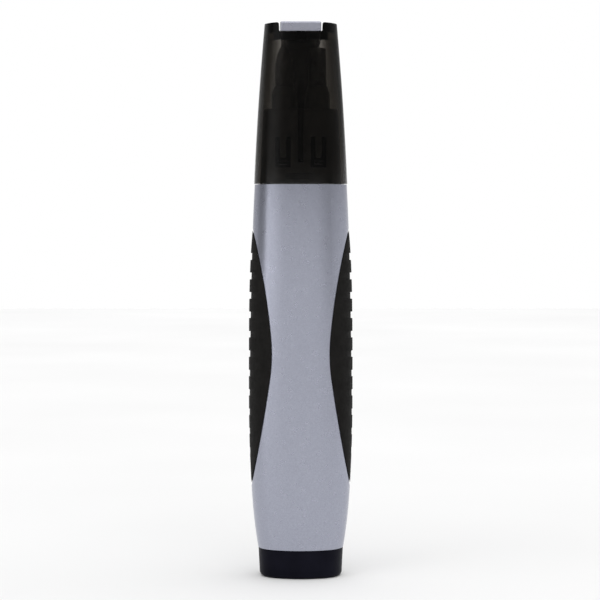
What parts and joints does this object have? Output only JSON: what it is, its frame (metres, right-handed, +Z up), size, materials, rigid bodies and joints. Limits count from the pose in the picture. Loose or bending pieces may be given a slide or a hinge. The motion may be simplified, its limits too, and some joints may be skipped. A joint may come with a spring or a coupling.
{
  "type": "counterfeit detector pen",
  "caption": "Slim hand-held pen with an ink nib and an ultraviolet lamp side by side under one clear smoked cap, with rubber side grips, pocket clip, thumb button and battery plug.",
  "frame": {"origin": "middle of the end plug's flat foot, which the pen stands on", "axes": "+Z up along the pen to the cap; the front face looks along -Y; the pocket clip and thumb button are on +Y; the lamp is on +X and the ink nib on -X"},
  "size_m": [0.0282, 0.0196, 0.1492],
  "materials": {
    "silver_paint": "metallic grey paint on moulded plastic, fine grain",
    "grip_rubber": "matte ribbed rubber",
    "black_plastic": "satin black",
    "ferrule_plastic": "satin dark grey",
    "nib_fibre": "ink-soaked bonded fibre",
    "reservoir_fibre": "wound fibre",
    "lamp_plastic": "satin black",
    "lens_clear": "clear",
    "led_epoxy": "clear, faint violet",
    "tinned_wire": "tinned",
    "seal_plastic": "glossy black",
    "smoked_plastic": "clear smoked, glossy",
    "clip_silver": "metallic grey paint, fine grain",
    "plug_plastic": "satin, very dark blue-black",
    "spring_metal": "nickel plated",
    "cell_steel": "brushed",
    "red_insulation": "soft insulation",
    "black_insulation": "soft insulation",
    "board_green": "solder-masked laminate",
    "component_black": "moulded",
    "button_plastic": "satin black"
  },
  "bodies": {
    "barrel": {"front_shell": "silver_paint", "rear_shell": "silver_paint", "grip_left": "grip_rubber", "grip_right": "grip_rubber", "nose_block": "black_plastic", "tip_carrier": "black_plastic", "nib_ferrule": "ferrule_plastic", "nib": "nib_fibre", "cartridge_tube": "ferrule_plastic", "ink_reservoir": "reservoir_fibre", "cartridge_plug": "ferrule_plastic", "lamp_tube": "lamp_plastic", "lamp_lens": "lens_clear", "uv_led": "led_epoxy", "led_lead_1": "tinned_wire", "led_lead_2": "tinned_wire", "battery_cell_1": "cell_steel", "battery_cell_2": "cell_steel", "battery_cell_3": "cell_steel", "chassis": "black_plastic", "positive_contact": "spring_metal", "negative_contact": "spring_metal", "red_wire": "red_insulation", "black_wire": "black_insulation", "circuit_board": "board_green", "resistor": "component_black", "switch_housing": "component_black"},
    "button": {"thumb_button": "button_plastic", "switch_plunger": "lamp_plastic"},
    "cap": {"cap_shell": "smoked_plastic", "inner_seal_cap": "seal_plastic", "clip_bridge": "clip_silver"},
    "clip": {"clip_arm": "clip_silver"},
    "end_plug": {"end_plug": "plug_plastic", "spring_plate": "spring_metal", "contact_spring": "spring_metal"}
  },
  "joints": [
    {"name": "cap_pull", "type": "slide", "parent": "barrel", "child": "cap", "axis": [0, 0, 1], "range_m": [0, 0.045]},
    {"name": "clip_flex", "type": "hinge", "parent": "cap", "child": "clip", "pos_m": [0, 0.0073, 0.14782], "axis": [1, 0, 0], "range_deg": [0, 7], "stiffness_Nm_per_rad": 0.5},
    {"name": "button_press", "type": "slide", "parent": "barrel", "child": "button", "axis": [0, -1, 0], "range_m": [0, 0.00035], "stiffness_N_per_m": 3000},
    {"name": "end_plug_pull", "type": "slide", "parent": "barrel", "child": "end_plug", "axis": [0, 0, -1], "range_m": [0, 0.03]}
  ]
}
